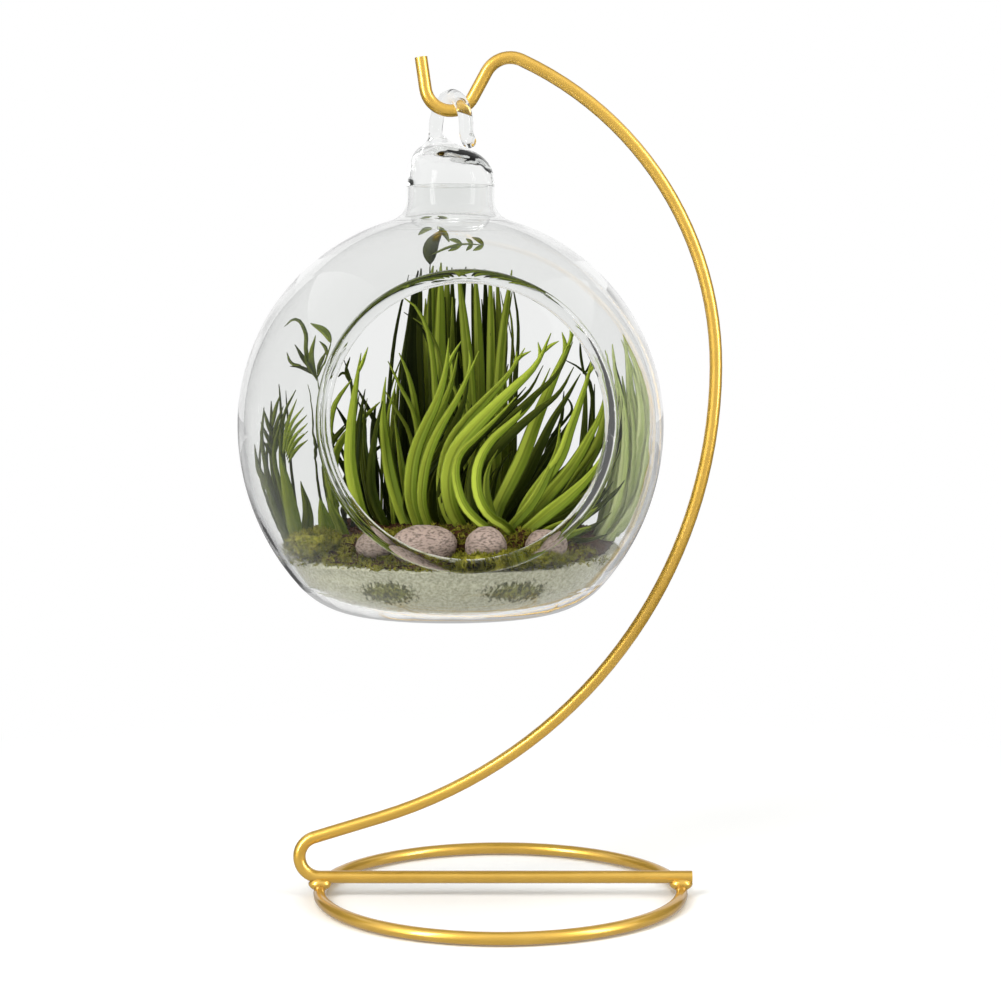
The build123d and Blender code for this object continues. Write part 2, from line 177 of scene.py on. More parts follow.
# A leaf's shade is painted darkness: partly its own tone, partly painted shade for leaves deep in the plant
# Each leaf is its width in mm, its roll in degrees, how deep its shade is, and the places that it grows
# through. A place is a column and a row of the picture, and how many mm it lies behind the globe's centre.
PLANTS = {
    "left_strap_plant": {"strap": (
        (4.4, -10, 0.22, ((375, 519, -18), (364, 505, -19), (356, 483, -19), (351, 459, -18),
                          (351, 433, -18), (354, 402, -18), (358, 373, -19), (361, 353, -20))),
        (4.2, 8, 0.05, ((408, 519, -16), (399, 498, -14), (390, 469, -12), (385, 441, -10),
                        (383, 414, -8), (384, 393, -7), (386, 377, -6))),
        (4.6, 12, 0.00, ((420, 519, -20), (411, 492, -21), (411, 470, -22), (416, 446, -22),
                         (426, 424, -22), (437, 400, -22), (445, 372, -22), (449, 338, -22))),
        (4.2, -12, 0.12, ((424, 519, -18), (417, 494, -18), (418, 471, -19), (423, 448, -19),
                          (434, 424, -19), (445, 402, -19), (453, 378, -19), (458, 352, -19))),
        (3.6, 18, 0.00, ((430, 519, -22), (422, 495, -24), (423, 472, -25), (429, 449, -26),
                         (441, 425, -26), (456, 400, -27), (469, 373, -27), (479, 351, -28))),
        (1.8, 0, 0.10, ((394, 517, -12), (389, 450, -9), (389, 410, -7), (394, 391, -6), (397, 377, -5))),
        (2.6, 10, 0.40, ((414, 517, -12), (405, 480, -10), (398, 440, -8), (394, 415, -6))),
        (2.4, -15, 0.55, ((432, 517, -14), (432, 480, -12), (428, 455, -10), (424, 436, -9))),
    ), "leaflet": (
        (1.3, 0, 0.05, ((445, 376, -22), (452, 357, -22), (462, 340, -22))),
        (1.2, 0, 0.20, ((451, 384, -19), (452, 368, -19), (449, 352, -19))),
        (1.2, 0, 0.10, ((466, 380, -27), (470, 366, -27), (469, 350, -27))),
        (1.2, 0, 0.05, ((358, 374, -19), (363, 361, -20), (368, 347, -20))),
    )},
    "middle_strap_plant": {"strap": (
        (5.0, 14, 0.05, ((456, 522, -20), (447, 505, -22), (443, 485, -23), (445, 462, -24),
                         (452, 441, -25), (466, 421, -25), (484, 401, -25), (506, 377, -25),
                         (525, 348, -25))),
        (5.4, -12, 0.00, ((464, 524, -22), (454, 508, -25), (449, 488, -27), (450, 467, -28),
                          (457, 449, -29), (471, 432, -30), (491, 411, -30), (513, 389, -30),
                          (536, 365, -30), (551, 333, -30))),
        (3.2, 10, 0.35, ((470, 521, -18), (474, 490, -18), (478, 460, -17), (482, 430, -16),
                         (478, 405, -15))),
        (3.2, -20, 0.40, ((480, 520, -20), (470, 495, -20), (472, 465, -19), (480, 440, -18),
                          (492, 424, -18))),
        (2.8, 15, 0.30, ((500, 520, -22), (490, 500, -24), (486, 480, -24), (489, 462, -23),
                         (498, 447, -22))),
    ), "front_strap": (
        (3.2, 25, 0.00, ((497, 523, -31), (488, 517, -35), (476, 509, -36), (464, 497, -36),
                         (457, 481, -35), (455, 463, -34), (460, 450, -33), (476, 436, -33),
                         (497, 417, -33), (516, 397, -33))),
        (3.6, -15, 0.00, ((516, 522, -29), (505, 512, -34), (491, 504, -36), (481, 491, -36),
                          (477, 475, -34), (479, 459, -32), (490, 441, -30), (509, 425, -28),
                          (527, 408, -26), (540, 390, -25), (550, 368, -24))),
    ), "leaflet": (
        (1.3, 0, 0.10, ((506, 378, -25), (514, 366, -25), (517, 351, -25))),
        (1.3, 0, 0.05, ((513, 368, -25), (519, 358, -25), (531, 351, -25))),
        (1.3, 0, 0.05, ((536, 366, -30), (540, 355, -30), (538, 342, -30))),
        (1.2, 0, 0.20, ((542, 354, -30), (550, 346, -30), (559, 341, -30))),
    )},
    "right_strap_plant": {"strap": (
        (5.1, 10, 0.00, ((492, 517, -20), (498, 496, -20), (509, 476, -19), (521, 454, -18),
                         (536, 419, -17), (550, 386, -16), (564, 355, -15), (577, 324, -14))),
        (4.1, -12, 0.05, ((514, 521, -23), (526, 497, -22), (543, 476, -21), (560, 455, -21),
                          (571, 428, -20), (581, 400, -19), (589, 373, -18), (593, 354, -17))),
        (4.5, 16, 0.10, ((518, 517, -21), (543, 489, -20), (571, 460, -18), (588, 436, -17),
                         (600, 414, -16), (606, 389, -16))),
        (4.6, -14, 0.12, ((522, 520, -24), (547, 503, -25), (574, 484, -25), (594, 465, -24),
                          (607, 445, -23))),
        (4.0, 20, 0.30, ((536, 519, -25), (561, 509, -28), (581, 502, -29), (596, 493, -29))),
        (3.2, -10, 0.40, ((548, 517, -26), (570, 513, -30), (590, 507, -31))),
        (3.6, 5, 0.18, ((505, 519, -24), (520, 505, -25), (533, 491, -24), (546, 470, -22),
                        (557, 447, -20), (560, 424, -19))),
        (3.6, 8, 0.45, ((540, 512, -12), (575, 470, -10), (600, 432, -10), (605, 396, -10),
                        (598, 358, -9))),
        (3.2, 0, 0.80, ((565, 512, 0), (578, 470, 2), (584, 430, 3), (586, 372, 4))),
    ), "blade": (
        (1.8, 0, 0.97, ((540, 512, 4), (549, 440, 6), (560, 424, 7), (564, 391, 8))),
        (0.9, 0, 0.97, ((551, 436, 6), (567, 418, 7), (572, 409, 7), (566, 395, 8))),
        (1.6, 0, 0.97, ((575, 512, 4), (590, 430, 5), (586, 374, 6), (565, 360, 7))),
        (0.9, 0, 0.95, ((584, 374, 6), (581, 357, 6), (580, 342, 6))),
        (0.8, 0, 0.95, ((585, 373, 6), (589, 367, 6), (592, 359, 6))),
        (0.9, 0, 0.95, ((477, 468, -17), (498, 430, -15), (518, 402, -13), (531, 387, -12))),
        (3.6, 0, 0.97, ((520, 512, -8), (548, 478, -6), (576, 455, -5), (602, 433, -4))),
        (3.2, 0, 0.97, ((510, 512, -4), (530, 470, -2), (550, 445, 0), (561, 428, 0))),
        (3.6, 0, 0.95, ((552, 512, -6), (570, 496, -6), (585, 484, -5), (600, 470, -4))),
        (3.4, 0, 0.95, ((566, 512, -2), (580, 500, -2), (594, 488, -1), (604, 474, 0))),
    ), "leaflet": (
        (1.4, 0, 0.10, ((563, 357, -15), (565, 345, -15), (562, 332, -15))),
        (1.3, 0, 0.05, ((567, 348, -15), (571, 338, -15), (570, 328, -14))),
        (1.2, 0, 0.10, ((588, 376, -18), (593, 367, -18), (602, 358, -17))),
    )},
    "tall_grass": {"blade": (
        (4.0, 5, 0.88, ((421, 512, 18), (420, 420, 20), (418, 340, 21), (421, 268, 18))),
        (4.8, -10, 0.10, ((429, 512, 22), (429, 400, 22), (430, 330, 21), (433, 265, 16))),
        (4.8, 12, 0.05, ((438, 512, 20), (439, 400, 20), (440, 330, 19), (441, 262, 14))),
        (4.4, -8, 0.28, ((446, 512, 23), (447, 400, 23), (447, 330, 22), (447, 266, 17))),
        (3.2, 6, 0.80, ((454, 512, 25), (454, 400, 25), (453, 330, 24), (452, 267, 19))),
        (4.4, -12, 0.10, ((473, 512, 20), (471, 400, 20), (465, 330, 21), (458, 269, 18))),
        (4.0, 10, 0.12, ((481, 512, 24), (480, 400, 24), (478, 330, 23), (475, 268, 18))),
        (3.2, 0, 0.95, ((486, 512, 28), (486, 400, 28), (486, 330, 27), (485, 269, 21))),
        (3.6, -6, 0.15, ((491, 512, 24), (491, 400, 24), (491, 330, 23), (490, 271, 18))),
        (3.8, 14, 0.15, ((496, 512, 22), (498, 400, 22), (503, 330, 22), (512, 270, 18))),
        (3.4, -14, 0.35, ((505, 512, 26), (503, 400, 26), (500, 340, 25), (497, 272, 21))),
        (4.2, 0, 0.55, ((434, 512, 27), (434, 400, 27), (436, 330, 26), (437, 270, 21))),
        (4.0, 0, 0.92, ((464, 512, 28), (462, 400, 28), (460, 330, 27), (466, 266, 22))),
        (1.6, 0, 0.85, ((432, 512, 12), (431, 400, 10), (430, 310, 7), (430, 262, 3))),
        (1.4, 0, 0.90, ((514, 512, 20), (516, 380, 20), (518, 320, 20), (512, 282, 18))),
        (1.4, 0, 0.95, ((384, 512, 10), (392, 360, 11), (400, 310, 11), (409, 275, 10))),
        (1.4, 0, 0.95, ((398, 512, 12), (404, 360, 12), (410, 310, 12), (414, 278, 11))),
        (4.4, 0, 0.97, ((415, 512, 14), (413, 400, 15), (411, 340, 15), (418, 270, 14))),
        (4.5, 0, 0.97, ((440, 512, 12), (438, 440, 13), (436, 400, 13), (434, 360, 13))),
        (4.5, 0, 0.97, ((400, 512, 14), (402, 440, 15), (405, 400, 15), (406, 350, 15))),
        (2.4, 15, 0.00, ((438, 512, 6), (435, 390, 7), (430, 342, 6), (424, 321, 5),
                         (414, 305, 4), (403, 297, 3))),
        (2.6, -10, 0.05, ((420, 512, 4), (417, 420, 4), (408, 374, 3), (399, 353, 2))),
        (1.8, 10, 0.00, ((418, 512, 2), (414, 415, 2), (401, 388, 1), (388, 361, 0))),
        (2.6, 10, 0.25, ((476, 512, 10), (467, 430, 10), (457, 395, 9), (449, 376, 8))),
        (2.4, -10, 0.30, ((468, 512, 8), (472, 430, 8), (466, 400, 7), (460, 384, 6))),
    ), "leaflet": (
        (5.2, 0, 0.88, ((430, 264, 3), (431, 246, 1), (441, 216, -2))),
        (1.6, 0, 0.50, ((432, 228, -1), (426, 229, -1), (418, 234, -1))),
        (2.0, 0, 0.60, ((437, 226, -1), (444, 232, -1), (449, 242, -1))),
        (0.9, 0, 0.55, ((431, 255, 2), (446, 248, 0), (464, 244, -1), (484, 245, -2))),
        (1.6, 0, 0.45, ((462, 244, -1), (455, 240, -1), (448, 239, -1))),
        (1.6, 0, 0.55, ((462, 244, -1), (455, 248, -1), (448, 251, -1))),
        (1.4, 0, 0.50, ((473, 244, -1), (470, 241, -1), (466, 238, -1))),
        (1.4, 0, 0.40, ((473, 244, -1), (470, 247, -1), (466, 251, -1))),
        (1.5, 0, 0.60, ((484, 245, -2), (479, 240, -2), (472, 237, -2))),
        (1.5, 0, 0.45, ((484, 245, -2), (479, 248, -2), (473, 251, -2))),
    )},
    "left_grass": {"blade": (
        (2.4, 0, 0.97, ((380, 512, 6), (372, 474, 6), (357, 445, 6), (349, 428, 6), (336, 406, 6))),
        (2.2, 0, 0.97, ((390, 512, 4), (380, 432, 4), (369, 410, 4), (357, 388, 4))),
        (2.8, 10, 0.30, ((340, 512, 0), (334, 460, 0), (340, 439, -1), (358, 423, -2), (380, 402, -2))),
        (2.4, 0, 0.97, ((377, 512, 8), (376, 476, 8), (373, 424, 8), (376, 404, 8))),
        (2.6, -10, 0.10, ((336, 512, 2), (329, 440, 2), (335, 404, 2), (344, 390, 1), (352, 379, 0))),
        (1.6, 0, 0.90, ((352, 512, 8), (353, 420, 8), (351, 382, 8), (344, 360, 8))),
        (0.9, 0, 0.90, ((351, 384, 8), (346, 373, 8), (350, 357, 8))),
        (0.9, 0, 0.90, ((350, 378, 8), (343, 373, 8), (338, 377, 8))),
        (0.7, 0, 0.90, ((334, 461, 0), (358, 462, 3), (379, 458, 4))),
        (0.7, 0, 0.50, ((317, 377, 8), (328, 354, 6), (331, 341, 5))),
        (2.2, 0, 0.95, ((366, 512, 10), (352, 470, 10), (340, 452, 10), (332, 438, 10))),
        (1.1, 0, 0.60, ((338, 512, 2), (328, 480, 4), (324, 430, 6), (321, 395, 7), (317, 376, 8))),
        (1.5, 0, 0.55, ((315, 376, 8), (306, 352, 8), (304, 330, 7), (295, 319, 5), (283, 326, 3))),
    ), "leaflet": (
        (1.9, 0, 0.45, ((317, 381, 8), (311, 360, 8), (315, 335, 7))),
        (1.7, 0, 0.80, ((314, 372, 8), (303, 358, 7), (294, 344, 6))),
        (1.3, 0, 0.85, ((315, 375, 8), (300, 367, 7), (289, 366, 6))),
        (1.6, 0, 0.75, ((317, 374, 8), (320, 362, 7), (327, 350, 6))),
        (1.2, 0, 0.70, ((316, 378, 8), (308, 366, 7), (304, 350, 6))),
        (2.6, 0, 0.30, ((331, 343, 5), (325, 332, 5), (310, 323, 5))),
        (1.4, 0, 0.60, ((327, 356, 6), (325, 348, 6), (319, 341, 6))),
        (1.1, 0, 0.60, ((301, 365, 7), (291, 363, 6), (286, 352, 5))),
    )},
    "left_fern": {"blade": (
        (1.6, 0, 0.72, ((299, 516, -8), (287, 480, -6), (281, 448, -5), (284, 415, -4), (296, 390, -3))),
        (1.8, 0, 0.75, ((290, 514, -4), (270, 470, -3), (262, 440, -2), (264, 407, -1))),
        (1.8, 0, 0.81, ((294, 514, 0), (277, 470, 1), (272, 440, 2), (271, 401, 3))),
        (1.4, 0, 0.81, ((296, 514, 2), (284, 460, 2), (281, 420, 3), (278, 384, 4))),
        (1.8, 0, 0.66, ((296, 514, -6), (281, 472, -6), (274, 446, -5), (281, 418, -5))),
        (1.6, 0, 0.75, ((288, 514, -6), (266, 467, -5), (257, 452, -4), (254, 438, -3))),
        (2.4, 0, 0.75, ((293, 514, -10), (280, 494, -10), (271, 478, -9), (265, 462, -8))),
    ), "leaflet": (
        (1.3, 0, 0.35, ((283, 454, -7), (287, 426, -7), (297, 399, -6))),
        (1.3, 0, 0.15, ((284, 452, -7), (291, 425, -7), (304, 407, -6))),
        (1.3, 0, 0.30, ((285, 454, -7), (293, 431, -7), (307, 415, -6))),
        (1.3, 0, 0.15, ((286, 457, -7), (294, 438, -7), (308, 423, -6))),
        (1.3, 0, 0.30, ((287, 460, -7), (295, 444, -7), (308, 431, -6))),
        (1.3, 0, 0.35, ((288, 463, -7), (296, 450, -7), (308, 440, -6))),
        (1.3, 0, 0.72, ((276, 466, 1), (268, 449, 1), (260, 438, 1))),
        (1.3, 0, 0.75, ((273, 452, 1), (266, 434, 1), (260, 422, 2))),
        (1.3, 0, 0.69, ((272, 438, 2), (267, 421, 2), (263, 408, 2))),
        (1.3, 0, 0.66, ((274, 456, 1), (279, 436, 1), (286, 421, 1))),
        (1.3, 0, 0.69, ((272, 442, 2), (277, 421, 2), (283, 406, 2))),
        (1.3, 0, 0.63, ((272, 428, 2), (275, 409, 2), (279, 395, 3))),
    ), "strap": (
        (5.0, 0, 0.45, ((301, 518, -15), (294, 495, -14), (287, 470, -13), (280, 446, -12))),
        (4.0, 0, 0.62, ((304, 518, -11), (308, 495, -11), (301, 468, -10))),
        (5.6, 0, 0.40, ((332, 521, -22), (327, 505, -23), (320, 483, -24))),
        (4.6, 0, 0.35, ((346, 517, -20), (337, 501, -20), (327, 483, -20))),
    )},
    "right_tuft": {"blade": (
        (3.0, 0, 0.05, ((598, 516, 2), (614, 480, 3), (621, 430, 4), (617, 385, 4), (613, 344, 4))),
        (3.2, 0, 0.10, ((600, 516, 4), (622, 478, 4), (632, 430, 5), (630, 380, 5), (626, 334, 5))),
        (3.2, 0, 0.05, ((602, 516, 6), (628, 480, 6), (641, 435, 6), (643, 385, 6), (639, 326, 6))),
        (3.0, 0, 0.25, ((603, 516, 3), (632, 484, 3), (648, 440, 3), (653, 400, 3), (652, 360, 3))),
        (3.4, 0, 0.15, ((600, 516, 0), (624, 488, 0), (638, 448, 0), (641, 405, 0), (634, 372, 0))),
        (3.0, 0, 0.00, ((598, 516, -3), (615, 490, -3), (624, 455, -3), (624, 415, -3), (618, 378, -3))),
        (2.8, 0, 0.30, ((604, 516, -2), (630, 494, -2), (646, 460, -2), (650, 425, -2))),
        (2.4, 0, 0.20, ((596, 516, 6), (608, 470, 7), (612, 420, 8), (609, 372, 8), (605, 350, 8))),
    )},
}
# Younger leaves among the named ones: how many, how far they spread in columns, and their range of shade
# Most younger leaves are painted dark, down to near black, as the shade deep among the leaves; the right
# tuft's stay lighter
YOUNG_LEAVES = {
    "left_strap_plant": (16, 22, (0.80, 0.97)),
    "middle_strap_plant": (16, 24, (0.80, 0.97)),
    "right_strap_plant": (18, 22, (0.75, 0.97)),
    "tall_grass": (34, 12, (0.35, 0.97)),
    "left_grass": (8, 14, (0.70, 0.97)),
    "left_fern": (8, 10, (0.55, 0.97)),
    "right_tuft": (20, 14, (0.00, 0.55)),
}
# How a younger leaf differs from the one that it follows: mm further back, shares of its height and of its
# width, and degrees of roll. Its root moves aside by less than its blade does.
YOUNG_BACK = (2, 12)
YOUNG_HEIGHT = (0.6, 0.98)
YOUNG_WIDTH = (0.55, 0.9)
YOUNG_ROLL = (-45, 45)
YOUNG_ROOT_ASIDE = 0.6


# Small tools

def only(piece):
    """Selects this piece alone and makes it the active one."""
    bpy.ops.object.select_all(action="DESELECT")
    piece.select_set(True)
    bpy.context.view_layer.objects.active = piece


@contextlib.contextmanager
def editing(piece):
    """Edit mode on this piece, with all of it selected."""
    only(piece)
    bpy.ops.object.mode_set(mode="EDIT")
    bpy.ops.mesh.select_all(action="SELECT")
    yield
    bpy.ops.object.mode_set(mode="OBJECT")


def pick(test):
    """In edit mode, selects the vertices whose place passes the test."""
    mesh = bmesh.from_edit_mesh(bpy.context.object.data)
    bpy.ops.mesh.select_mode(type="VERT")
    bpy.ops.mesh.select_all(action="DESELECT")
    for vertex in mesh.verts:
        vertex.select = test(vertex.co)
    mesh.select_flush_mode()
    bmesh.update_edit_mesh(bpy.context.object.data)


def apply_modifier(piece, kind, **settings):
    """Adds a modifier, sets it and applies it."""
    only(piece)
    modifier = piece.modifiers.new(kind.lower(), kind)
    for name, value in settings.items():
        setattr(modifier, name, value)
    bpy.ops.object.modifier_apply(modifier=modifier.name)


def remesh(piece, voxel):
    """Turns a piece into one closed skin of even small faces."""
    apply_modifier(piece, "REMESH", mode="VOXEL", voxel_size=voxel)


def roughen(piece, name, lump_mm, height_mm, level, depth=2):
    """Pushes a surface in and out by lumps of about this size and height. Grey at the level stays put."""
    texture = bpy.data.textures.new(name, "CLOUDS")
    texture.noise_scale = lump_mm * MM
    texture.noise_depth = depth
    apply_modifier(piece, "DISPLACE", texture=texture, strength=height_mm * MM, mid_level=level)


def join(pieces, name):
    """Joins pieces into one."""
    only(pieces[0])
    for piece in pieces:
        piece.select_set(True)
    bpy.ops.object.join()
    pieces[0].name = name
    pieces[0].data.name = name
    return pieces[0]


def copy_piece(piece, name):
    """A copy of a piece with a mesh of its own."""
    made = bpy.data.objects.new(name, piece.data.copy())
    bpy.context.scene.collection.objects.link(made)
    return made


def copy_node(name):
    """A merged copy of a CAD node's mesh, to be worked on."""
    piece = copy_piece(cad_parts[name], name + "_look")
    piece.data.materials.clear()
    with editing(piece):
        bpy.ops.mesh.remove_doubles(threshold=SAME_POINT)
    return piece


def place_on_globe(piece, material, slot, *nodes, smooth=True):
    """Gives a finished piece its finish, and hangs it with the globe in the place of these nodes."""
    if smooth:
        only(piece)
        bpy.ops.object.shade_smooth()
    piece.data.materials.clear()
    piece.data.materials.append(material)
    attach(piece, "globe")
    if nodes:
        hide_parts(*nodes)


def seen_at(column, row, depth):
    """The place in metres seen at a column and a row, this many mm behind the globe's centre."""
    ray = Vector(((column - PICTURE / 2) / FOCAL, 1, (PICTURE / 2 - row) / FOCAL))
    ray.rotate(Matrix.Rotation(-TILT, 3, "X"))
    return CAMERA + ray * ((GLOBE.y + depth * MM - CAMERA.y) / ray.y)


# Nodes and colours

def node(tree, kind, inputs=None, **settings):
    """Adds a node with its settings, and fills its inputs with values or links from other nodes."""
    made = tree.nodes.new(kind)
    for name, value in settings.items():
        setattr(made, name, value)
    for name, value in (inputs or {}).items():
        if isinstance(value, bpy.types.NodeSocket):
            tree.links.new(value, made.inputs[name])
        else:
            made.inputs[name].default_value = value
    return made


def new_material(name):
    """An empty node material."""
    material = bpy.data.materials.new(name)
    material.use_nodes = True
    material.node_tree.nodes.clear()
    return material, material.node_tree


def rgb(hexa):
    """Linear colour of an sRGB hex value."""
    parts = [int(hexa[i:i + 2], 16) / 255 for i in (0, 2, 4)]
    return (*[p / 12.92 if p <= 0.04045 else ((p + 0.055) / 1.055) ** 2.4 for p in parts], 1)


def per_metre(size_mm):
    """A noise scale whose features are about this many millimetres wide."""
    return 1 / (size_mm * MM)


# Materials

def gold_lacquer():
    """Steel wire under a gold lacquer: a satin gloss, a little cloudy as a sprayed metallic coat is."""
    material, tree = new_material("gold_lacquer")
    place = node(tree, "ShaderNodeTexCoord")
    cloud = node(tree, "ShaderNodeTexNoise", {
        "Vector": place.outputs["Object"],
        "Scale": per_metre(9),
        "Detail": 3.0,
    })
    tint = node(tree, "ShaderNodeMix", {
        "Factor": cloud.outputs["Fac"],
        6: rgb("D2A53C"),
        7: rgb("DEB450"),
    }, data_type="RGBA")
    gloss = node(tree, "ShaderNodeMapRange", {
        "Value": cloud.outputs["Fac"],
        "To Min": 0.30,
        "To Max": 0.36,
    })
    shader = node(tree, "ShaderNodeBsdfPrincipled", {
        "Base Color": tint.outputs[2],
        "Roughness": gloss.outputs["Result"],
        "Metallic": 0.7,
        "Specular Tint": rgb("A98A52"),
        "Coat Weight": 1.0,
        "Coat Roughness": 0.12,
    })
    node(tree, "ShaderNodeOutputMaterial", {"Surface": shader.outputs[0]})
    return material


def clear_glass(name, wave_mm, wave):
    """Soda-lime glass worked hot: clear and smooth, a trace of grey through its walls, and wavy."""
    material, tree = new_material(name)
    place = node(tree, "ShaderNodeTexCoord")
    swell = node(tree, "ShaderNodeTexNoise", {
        "Vector": place.outputs["Object"],
        "Scale": per_metre(wave_mm),
        "Detail": 1.0,
    })
    ripple = node(tree, "ShaderNodeBump", {
        "Height": swell.outputs["Fac"],
        "Strength": wave,
        "Distance": 1.0 * MM,
    })
    # Painted light: the grey tint fades to white towards the glass's outline, so its edges show brighter
    edge = node(tree, "ShaderNodeLayerWeight", {"Blend": 0.4})
    tint = node(tree, "ShaderNodeMix", {
        "Factor": edge.outputs["Facing"],
        6: rgb("EEEFEE"),
        7: rgb("FFFFFF"),
    }, data_type="RGBA")
    shader = node(tree, "ShaderNodeBsdfPrincipled", {
        "Base Color": tint.outputs[2],
        "Normal": ripple.outputs["Normal"],
        "Roughness": 0.0,
        "IOR": 1.47,
        "Specular Tint": rgb("7A7A7A"),
        "Transmission Weight": 1.0,
    })
    clear = node(tree, "ShaderNodeBsdfTransparent", {"Color": rgb("F6F7F6")})
    ray = node(tree, "ShaderNodeLightPath")
    # Light that keeps going back and forth in a thick rim leaves it, and isn't lost in a black line
    caught = node(tree, "ShaderNodeMath", {
        0: ray.outputs["Glossy Depth"],
        1: RIM_BOUNCES,
    }, operation="GREATER_THAN")
    passes = node(tree, "ShaderNodeMath", {
        0: ray.outputs["Is Shadow Ray"],
        1: caught.outputs[0],
    }, operation="MAXIMUM")
    both = node(tree, "ShaderNodeMixShader", {
        0: passes.outputs[0],
        1: shader.outputs[0],
        2: clear.outputs[0],
    })
    node(tree, "ShaderNodeOutputMaterial", {"Surface": both.outputs[0]})
    return material


def leaf_skin(name, light, middle, dark, bands, gloss):
    """A waxy leaf: pale and deep bands run its length, painted shade darkens its edges and fold, one side
    is painted lighter, its root is darker, and leaves differ in tone and painted shade.
    """
    material, tree = new_material(name)
    across = node(tree, "ShaderNodeUVMap", uv_map="UVMap")
    # How dark each leaf is: partly its own tone, partly painted shade for leaves that stand deep in the
    # plant
    shade = node(tree, "ShaderNodeAttribute", attribute_name="leaf_shade")
    # Each shade of leaf takes its bands from another part of the noise
    apart = node(tree, "ShaderNodeMath", {0: shade.outputs["Fac"], 1: LEAVES_APART}, operation="MULTIPLY")
    shift = node(tree, "ShaderNodeCombineXYZ", {"Z": apart.outputs[0]})
    lines = node(tree, "ShaderNodeMapping", {
        "Vector": across.outputs["UV"],
        "Location": shift.outputs[0],
        "Scale": (0.7, bands, 1.0),
    })
    fibre = node(tree, "ShaderNodeTexNoise", {"Vector": lines.outputs[0], "Scale": 1.0, "Detail": 2.0})
    run = node(tree, "ShaderNodeSeparateXYZ", {"Vector": across.outputs["UV"]})
    # Painted light: the bands shift across the leaf so one side is lighter and the other darker, as if lit
    # from that side
    lean = node(tree, "ShaderNodeMapRange", {
        "Value": run.outputs["Y"],
        "From Min": 0.2,
        "From Max": 0.85,
        "To Min": -0.2,
        "To Max": 0.2,
    })
    side_lit = node(tree, "ShaderNodeMath", {0: fibre.outputs["Fac"], 1: lean.outputs["Result"]})
    split = node(tree, "ShaderNodeMapRange", {
        "Value": side_lit.outputs[0],
        "From Min": 0.34,
        "From Max": 0.66,
    })
    body = node(tree, "ShaderNodeMix", {
        "Factor": split.outputs["Result"],
        6: rgb(middle),
        7: rgb(light),
    }, data_type="RGBA")
    root = node(tree, "ShaderNodeMapRange", {
        "Value": run.outputs["X"],
        "From Min": 0.0,
        "From Max": 0.25,
        "To Min": 0.4,
        "To Max": 0.0,
    })
    off = node(tree, "ShaderNodeMath", {0: run.outputs["Y"], 1: 0.5}, operation="SUBTRACT")
    side = node(tree, "ShaderNodeMath", {0: off.outputs[0]}, operation="ABSOLUTE")
    # Painted shade: the leaf's edges are darkened, as where they turn away from the light
    rim = node(tree, "ShaderNodeMapRange", {
        "Value": side.outputs[0],
        "From Min": 0.40,
        "From Max": 0.5,
        "To Min": 0.0,
        "To Max": 0.45,
    })
    # Painted shade: a dark line along the middle of the leaf, as the shade in its fold
    fold = node(tree, "ShaderNodeMapRange", {
        "Value": side.outputs[0],
        "From Min": 0.0,
        "From Max": 0.14,
        "To Min": 0.4,
        "To Max": 0.0,
    }, interpolation_type="SMOOTHSTEP")
    # The leaf goes to its dark colour by the most of its tone and painted shade, its root darkening, and
    # its painted edge and fold shade
    deep = shade.outputs["Fac"]
    for mark in (root, rim, fold):
        deeper = node(tree, "ShaderNodeMath", {0: deep, 1: mark.outputs["Result"]}, operation="MAXIMUM")
        deep = deeper.outputs[0]
    skin = node(tree, "ShaderNodeMix", {
        "Factor": deep,
        6: body.outputs[2],
        7: rgb(dark),
    }, data_type="RGBA")
    veins = node(tree, "ShaderNodeBump", {
        "Height": fibre.outputs["Fac"],
        "Strength": 0.15,
        "Distance": 0.3 * MM,
    })
    shader = node(tree, "ShaderNodeBsdfPrincipled", {
        "Base Color": skin.outputs[2],
        "Normal": veins.outputs["Normal"],
        "Roughness": gloss,
        "IOR": 1.45,
        "Specular IOR Level": 0.04,
    })
    node(tree, "ShaderNodeOutputMaterial", {"Surface": shader.outputs[0]})
    return material


def grainy(name, colours, grain_mm, patch_mm, rough, bump_mm):
    """Loose mineral or fibre: patches of colour, broken up by grains that also roughen the surface."""
    material, tree = new_material(name)
    place = node(tree, "ShaderNodeTexCoord")
    patch = node(tree, "ShaderNodeTexNoise", {
        "Vector": place.outputs["Object"],
        "Scale": per_metre(patch_mm),
        "Detail": 4.0,
    })
    wide = node(tree, "ShaderNodeMapRange", {
        "Value": patch.outputs["Fac"],
        "From Min": 0.35,
        "From Max": 0.65,
    })
    ground = node(tree, "ShaderNodeMix", {
        "Factor": wide.outputs["Result"],
        6: rgb(colours[0]),
        7: rgb(colours[1]),
    }, data_type="RGBA")
    grain = node(tree, "ShaderNodeTexNoise", {
        "Vector": place.outputs["Object"],
        "Scale": per_metre(grain_mm),
        "Detail": 3.0,
    })
    fine = node(tree, "ShaderNodeMapRange", {
        "Value": grain.outputs["Fac"],
        "From Min": 0.45,
        "From Max": 0.68,
    })
    skin = node(tree, "ShaderNodeMix", {
        "Factor": fine.outputs["Result"],
        6: ground.outputs[2],
        7: rgb(colours[2]),
    }, data_type="RGBA")
    rough_bump = node(tree, "ShaderNodeBump", {
        "Height": grain.outputs["Fac"],
        "Strength": 0.8,
        "Distance": bump_mm * MM,
    })
    shader = node(tree, "ShaderNodeBsdfPrincipled", {
        "Base Color": skin.outputs[2],
        "Normal": rough_bump.outputs["Normal"],
        "Roughness": rough,
        "Specular IOR Level": 0.1,
    })
    node(tree, "ShaderNodeOutputMaterial", {"Surface": shader.outputs[0]})
    return material


